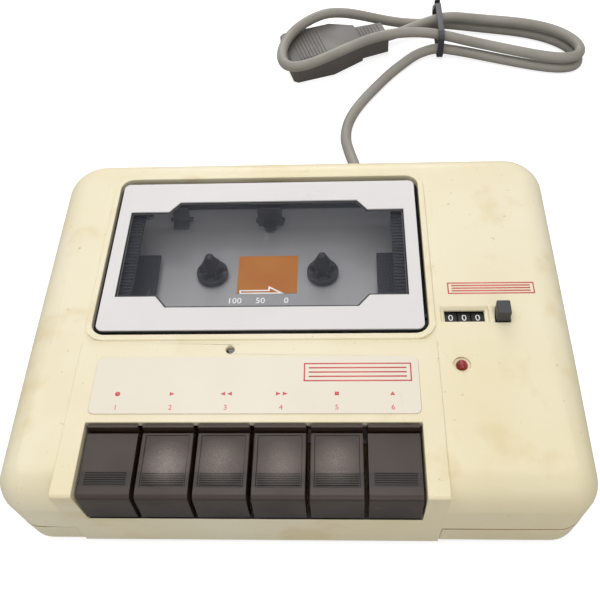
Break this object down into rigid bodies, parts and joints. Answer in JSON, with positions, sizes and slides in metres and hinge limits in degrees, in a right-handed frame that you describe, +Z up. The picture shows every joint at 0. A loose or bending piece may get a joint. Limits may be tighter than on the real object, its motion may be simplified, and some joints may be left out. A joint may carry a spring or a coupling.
{
  "type": "computer cassette recorder",
  "caption": "Flat cream cassette recorder for a home computer with piano keys, a windowed lid over the tape well, a tape counter and a tied lead with an edge-connector plug.",
  "frame": {"origin": "bottom centre of the case on the table, under the rubber feet", "axes": "+X to the right, +Y to the back where the cord leaves, +Z up"},
  "size_m": [0.2364, 0.3038, 0.0518],
  "materials": {
    "cream_case": "aged cream ABS, fine satin",
    "white_panel": "white printed facing",
    "brown_key": "dark brown ABS worn shiny",
    "black_plastic": "black moulded plastic",
    "smoked_clear": "smoked clear acrylic",
    "steel": "plated steel",
    "deck_grey": "grey painted deck plate",
    "brass": "turned brass",
    "rubber": "black rubber",
    "label_film": "off-white printed film",
    "orange_paper": "orange paper sticker",
    "red_lens": "red lamp lens",
    "board": "phenolic board",
    "white_nylon": "white nylon",
    "cord_sheath": "warm grey PVC sheath",
    "plug_grey": "grey moulded plug"
  },
  "bodies": {
    "case": {"top_shell": "cream_case", "base_tray": "cream_case", "rubber_feet": "rubber", "case_screws": "steel", "label_plate": "label_film", "signal_lamp": "red_lens", "lid_hinge_rod": "steel", "key_shaft": "steel", "key_springs": "steel", "deck_plate": "deck_grey", "deck_screws": "steel", "orange_sticker": "orange_paper", "capstan_bearing": "brass", "takeup_belt": "rubber", "motor": "steel", "drive_belt": "rubber", "slide_studs": "steel", "counter_bracket": "black_plastic", "circuit_board": "board", "board_components": "black_plastic", "strain_relief": "cord_sheath", "cord_lead": "cord_sheath", "cord_hank": "cord_sheath", "cable_tie": "black_plastic", "plug": "plug_grey"},
    "lid": {"lid_window": "smoked_clear", "lid_panel": "white_panel", "lid_carrier": "black_plastic", "cassette_guide_left": "black_plastic", "cassette_guide_right": "black_plastic", "lid_spring": "steel"},
    "latch": {"lid_latch": "black_plastic"},
    "safety_lever": {"record_safety_lever": "black_plastic"},
    "supply_reel": {"supply_spindle": "black_plastic", "supply_pulley": "white_nylon"},
    "takeup_reel": {"takeup_spindle": "black_plastic", "takeup_pulley": "white_nylon"},
    "capstan": {"flywheel": "brass", "capstan_shaft": "steel", "capstan_pulley": "white_nylon"},
    "motor_rotor": {"motor_pulley": "brass"},
    "heads": {"head_slide": "steel", "record_play_head": "steel", "erase_head": "black_plastic", "azimuth_screw": "brass", "roller_pin": "steel"},
    "roller": {"pinch_roller": "rubber"},
    "units_wheel": {"counter_wheel_units": "black_plastic", "counter_shaft": "steel", "counter_pulley": "white_nylon"},
    "tens_wheel": {"counter_wheel_tens": "black_plastic"},
    "hundreds_wheel": {"counter_wheel_hundreds": "black_plastic"},
    "reset": {"reset_button": "black_plastic"},
    "record_key": {"record_key": "brown_key"},
    "play_key": {"play_key": "brown_key"},
    "rewind_key": {"rewind_key": "brown_key"},
    "fast_forward_key": {"fast_forward_key": "brown_key"},
    "stop_key": {"stop_key": "brown_key"},
    "eject_key": {"eject_key": "brown_key"}
  },
  "joints": [
    {"name": "lid_hinge", "type": "hinge", "parent": "case", "child": "lid", "pos_m": [-0.0129, -0.005, 0.043], "axis": [1, 0, 0], "range_deg": [0, 40]},
    {"name": "record_key_press", "type": "hinge", "parent": "case", "child": "record_key", "pos_m": [-0.0129, -0.04335, 0.038], "axis": [1, 0, 0], "range_deg": [0, 7], "stiffness_Nm_per_rad": 0.3, "springref_deg": -8.59},
    {"name": "play_key_press", "type": "hinge", "parent": "case", "child": "play_key", "pos_m": [-0.0129, -0.04335, 0.038], "axis": [1, 0, 0], "range_deg": [0, 7], "stiffness_Nm_per_rad": 0.3, "springref_deg": -8.59},
    {"name": "rewind_key_press", "type": "hinge", "parent": "case", "child": "rewind_key", "pos_m": [-0.0129, -0.04335, 0.038], "axis": [1, 0, 0], "range_deg": [0, 7], "stiffness_Nm_per_rad": 0.3, "springref_deg": -8.59},
    {"name": "fast_forward_key_press", "type": "hinge", "parent": "case", "child": "fast_forward_key", "pos_m": [-0.0129, -0.04335, 0.038], "axis": [1, 0, 0], "range_deg": [0, 7], "stiffness_Nm_per_rad": 0.3, "springref_deg": -8.59},
    {"name": "stop_key_press", "type": "hinge", "parent": "case", "child": "stop_key", "pos_m": [-0.0129, -0.04335, 0.038], "axis": [1, 0, 0], "range_deg": [0, 7], "stiffness_Nm_per_rad": 0.3, "springref_deg": -8.59},
    {"name": "eject_key_press", "type": "hinge", "parent": "case", "child": "eject_key", "pos_m": [-0.0129, -0.04335, 0.038], "axis": [1, 0, 0], "range_deg": [0, 7], "stiffness_Nm_per_rad": 0.3, "springref_deg": -8.59},
    {"name": "latch_tilt", "type": "hinge", "parent": "case", "child": "latch", "pos_m": [-0.0129, 0.0519, 0.032], "axis": [1, 0, 0], "range_deg": [0, 7]},
    {"name": "safety_lever_tilt", "type": "hinge", "parent": "case", "child": "safety_lever", "pos_m": [-0.0492, 0.0539, 0.0311], "axis": [1, 0, 0], "range_deg": [-8, 0], "stiffness_Nm_per_rad": 0.02, "springref_deg": 5.73},
    {"name": "supply_reel_spin", "type": "hinge", "parent": "case", "child": "supply_reel", "pos_m": [-0.03415, 0.02505, 0.03], "axis": [0, 0, 1], "continuous": true},
    {"name": "capstan_spin", "type": "hinge", "parent": "case", "child": "capstan", "pos_m": [0.0171, -0.00195, 0.02], "axis": [0, 0, 1], "continuous": true},
    {"name": "takeup_reel_spin", "type": "hinge", "parent": "case", "child": "takeup_reel", "pos_m": [0.00835, 0.02505, 0.03], "axis": [0, 0, 1], "continuous": true},
    {"name": "motor_spin", "type": "hinge", "parent": "case", "child": "motor_rotor", "pos_m": [0.02685, 0.04205, 0.012], "axis": [0, 0, 1], "continuous": true},
    {"name": "head_slide_move", "type": "slide", "parent": "case", "child": "heads", "axis": [0, 1, 0], "range_m": [0, 0.006]},
    {"name": "pinch_roller_spin", "type": "hinge", "parent": "heads", "child": "roller", "pos_m": [0.0171, -0.01475, 0.035], "axis": [0, 0, 1], "continuous": true},
    {"name": "units_wheel_spin", "type": "hinge", "parent": "case", "child": "units_wheel", "pos_m": [0.0621, -0.0068, 0.0378], "axis": [1, 0, 0], "continuous": true},
    {"name": "tens_wheel_spin", "type": "hinge", "parent": "case", "child": "tens_wheel", "pos_m": [0.0575, -0.0068, 0.0378], "axis": [1, 0, 0], "continuous": true},
    {"name": "hundreds_wheel_spin", "type": "hinge", "parent": "case", "child": "hundreds_wheel", "pos_m": [0.0529, -0.0068, 0.0378], "axis": [1, 0, 0], "continuous": true},
    {"name": "reset_press", "type": "slide", "parent": "case", "child": "reset", "axis": [0, 0, -1], "range_m": [0, 0.003], "stiffness_N_per_m": 200, "springref_m": -0.003}
  ],
  "couplings": [
    {"joint": "takeup_reel_spin", "follows": "capstan_spin", "ratio": 0.71429},
    {"joint": "motor_spin", "follows": "capstan_spin", "ratio": 5.5},
    {"joint": "pinch_roller_spin", "follows": "capstan_spin", "ratio": -0.18182},
    {"joint": "units_wheel_spin", "follows": "capstan_spin", "ratio": 0.35714},
    {"joint": "tens_wheel_spin", "follows": "capstan_spin", "ratio": 0.035714},
    {"joint": "hundreds_wheel_spin", "follows": "capstan_spin", "ratio": 0.003571},
    {"joint": "play_key_press", "follows": "head_slide_move", "rad_per_m": 20.301},
    {"joint": "latch_tilt", "follows": "eject_key_press", "ratio": 0.99}
  ]
}
